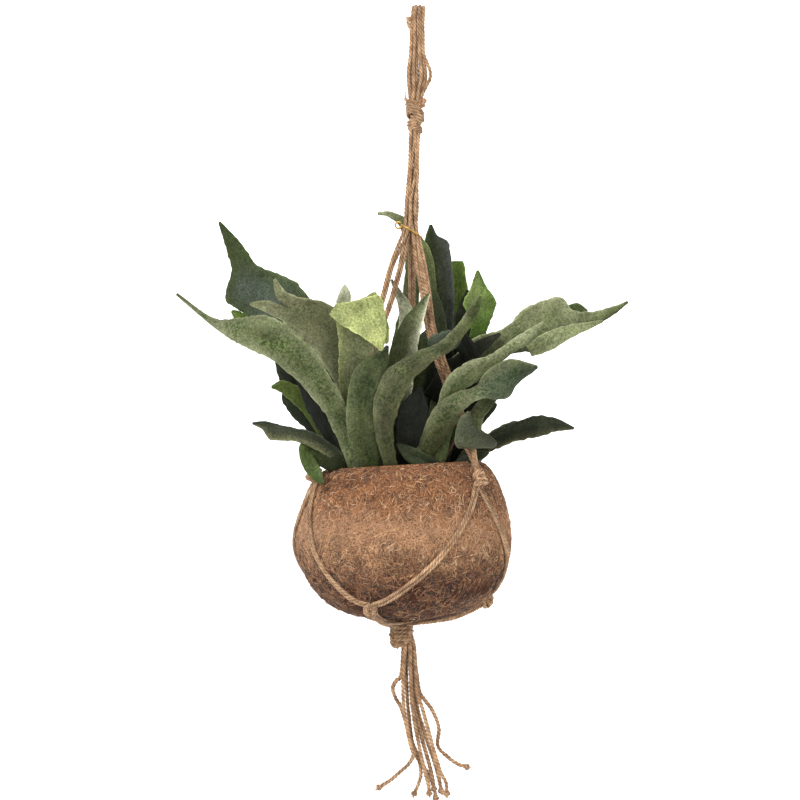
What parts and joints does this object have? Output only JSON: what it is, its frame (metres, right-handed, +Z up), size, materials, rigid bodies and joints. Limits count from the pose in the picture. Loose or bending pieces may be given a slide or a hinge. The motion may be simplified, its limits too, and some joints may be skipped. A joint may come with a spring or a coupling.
{
  "type": "staghorn fern in a hanging coir pot",
  "caption": "Staghorn fern with antler-shaped grey-green fronds in a round felted coir pot, hung in a knotted jute hanger with a tassel below.",
  "frame": {"origin": "hook point inside the top of the hanging loop, where the hook's bar bears", "axes": "+Z up along the hanging line, -Y to the plant's front"},
  "size_m": [0.4122, 0.2316, 0.7403],
  "materials": {
    "frond": "fuzzy matt grey-green",
    "dried_frond": "dry and papery",
    "coir": "felted fibre",
    "root_moss": "damp and dark",
    "jute": "fuzzy twisted cord",
    "golden_tie": "smooth"
  },
  "bodies": {
    "root": {"arm_back": "jute", "arm_left": "jute", "arm_right": "jute", "coir_pot": "coir", "frond_back_left": "frond", "frond_back_low": "frond", "frond_back_middle": "frond", "frond_back_right": "frond", "frond_blue_upper_left": "frond", "frond_bright_flap": "frond", "frond_centre_curl": "frond", "frond_dark_behind": "frond", "frond_dark_centre": "frond", "frond_dark_crossing": "frond", "frond_dark_left": "frond", "frond_dark_right": "frond", "frond_folded_right": "frond", "frond_forked_left": "frond", "frond_front_tongue": "frond", "frond_green_behind": "frond", "frond_green_lobed": "frond", "frond_grey_right": "frond", "frond_light_right": "frond", "frond_long_left": "frond", "frond_low_front": "frond", "frond_low_left": "frond", "frond_narrow_left": "frond", "frond_pale_centre": "frond", "frond_pale_spike": "frond", "frond_rim_left": "frond", "frond_speckled_right": "frond", "frond_stalk_right": "frond", "frond_tall_strap": "frond", "frond_thin_tip": "frond", "gather_knot": "jute", "hanging_loop": "jute", "lower_knot_front": "jute", "lower_knot_left": "jute", "lower_knot_right": "jute", "rim_knot_back": "jute", "rim_knot_left": "jute", "rim_knot_right": "jute", "root_ball": "root_moss", "shield_frond": "dried_frond", "sling_back_left": "jute", "sling_back_right": "jute", "sling_left_front": "jute", "sling_left_left": "jute", "sling_right_front": "jute", "sling_right_right": "jute", "tassel_back": "jute", "tassel_bent": "jute", "tassel_far": "jute", "tassel_front": "jute", "tassel_left": "jute", "tassel_loop": "jute", "tassel_middle": "jute", "tassel_right": "jute", "top_knot": "jute", "twist_tie": "golden_tie"}
  },
  "joints": []
}
